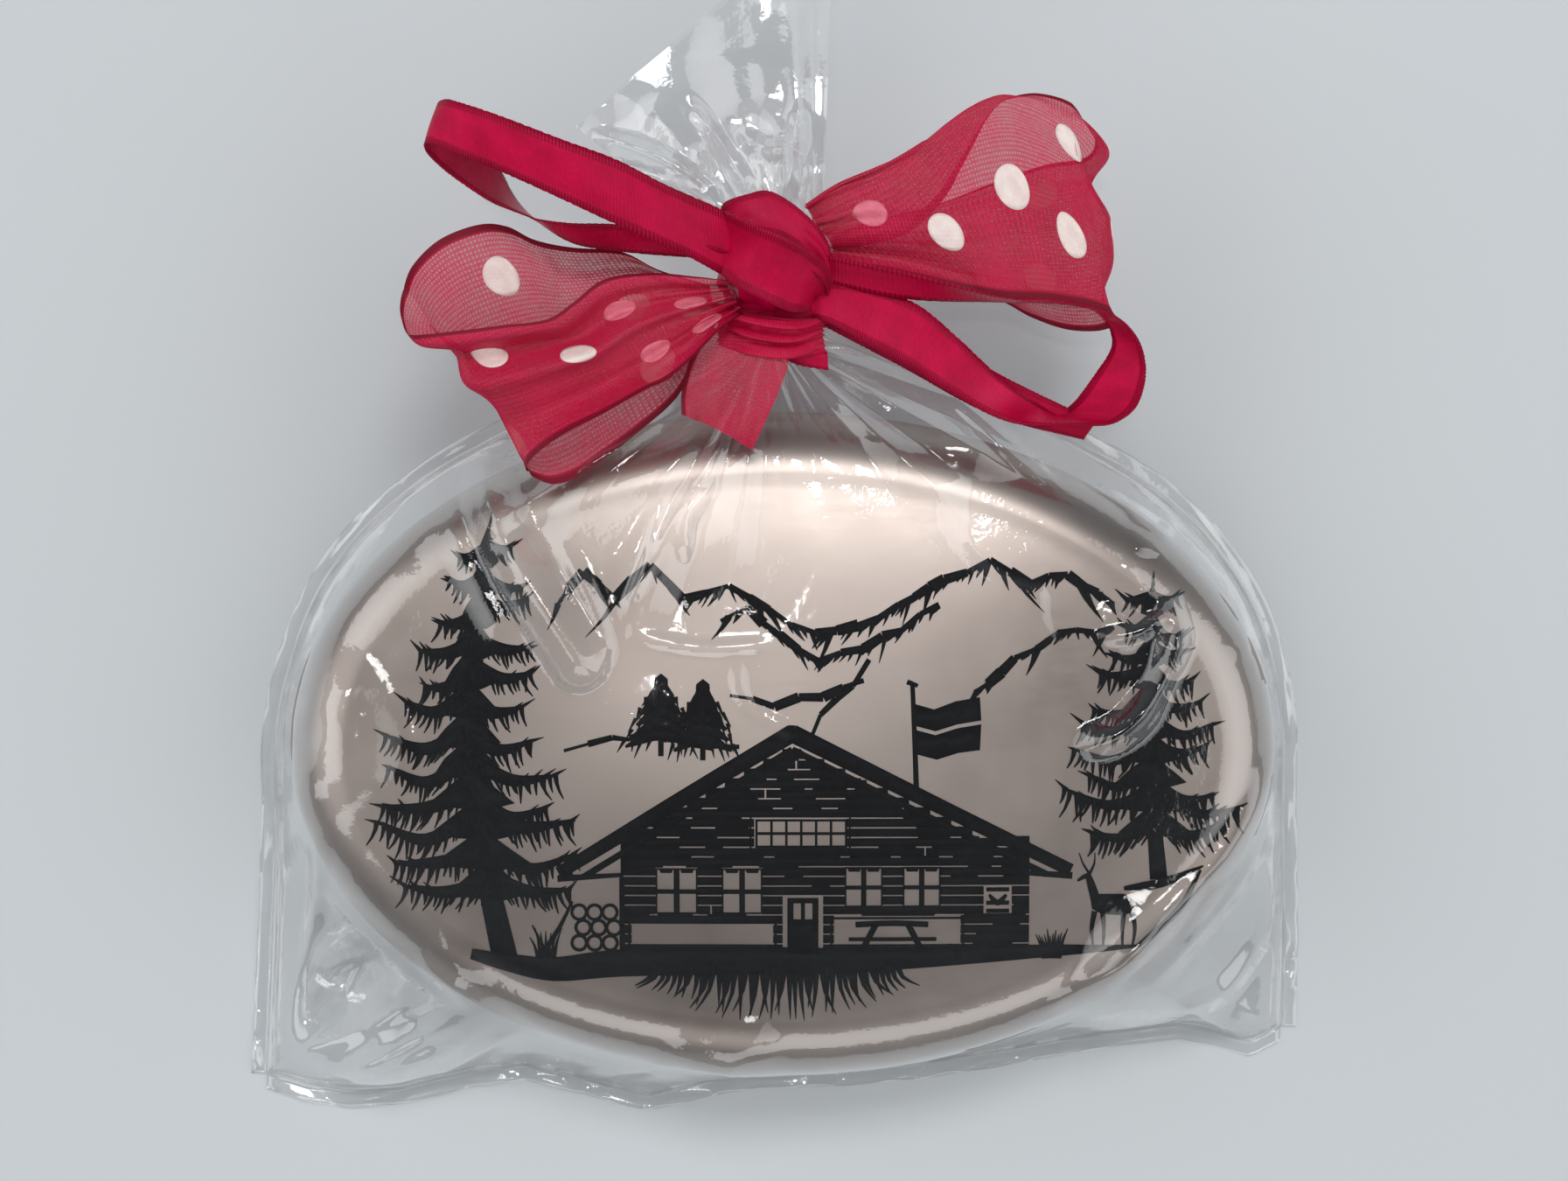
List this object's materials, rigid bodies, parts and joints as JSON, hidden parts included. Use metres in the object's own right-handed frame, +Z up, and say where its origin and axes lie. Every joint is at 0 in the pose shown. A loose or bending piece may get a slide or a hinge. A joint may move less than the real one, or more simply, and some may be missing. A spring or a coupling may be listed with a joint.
{
  "type": "gift-wrapped steel soap",
  "caption": "Oval stainless steel soap with a printed mountain scene, in a clear film gift bag whose neck is tied with a bow of sheer dotted ribbon and narrow satin ribbon.",
  "frame": {"origin": "on the underside of the bag's back panel, below the middle of the oval soap, where the wrapped soap rests on a table", "axes": "+Z up out of the printed face, +Y from the bag's bottom fold towards the tied neck, +X to the right of the printed picture, along the oval's length"},
  "size_m": [0.0837, 0.0937, 0.0285],
  "materials": {
    "steel": "satin, stamped and fine-brushed",
    "print_ink": "matt black pad-print ink",
    "film": "clear glossy film, creased",
    "organza": "sheer crimson weave with solid edges",
    "dots": "white flocked dots",
    "satin": "crimson satin with fine woven edges"
  },
  "bodies": {
    "root": {"soap_upper_shell": "steel", "soap_lower_shell": "steel", "bag_front_panel": "film", "bag_back_panel": "film", "bag_weld_left": "film", "bag_weld_right": "film", "bag_bottom_fold": "film", "bag_neck": "film", "bag_crown": "film", "organza_turn": "organza", "organza_loop_left": "organza", "organza_loop_right": "organza", "organza_tail": "organza", "satin_turn": "satin", "satin_knot": "satin", "satin_loop_left": "satin", "satin_loop_right": "satin", "satin_tail_right": "satin", "satin_tail_front": "satin"}
  },
  "joints": []
}
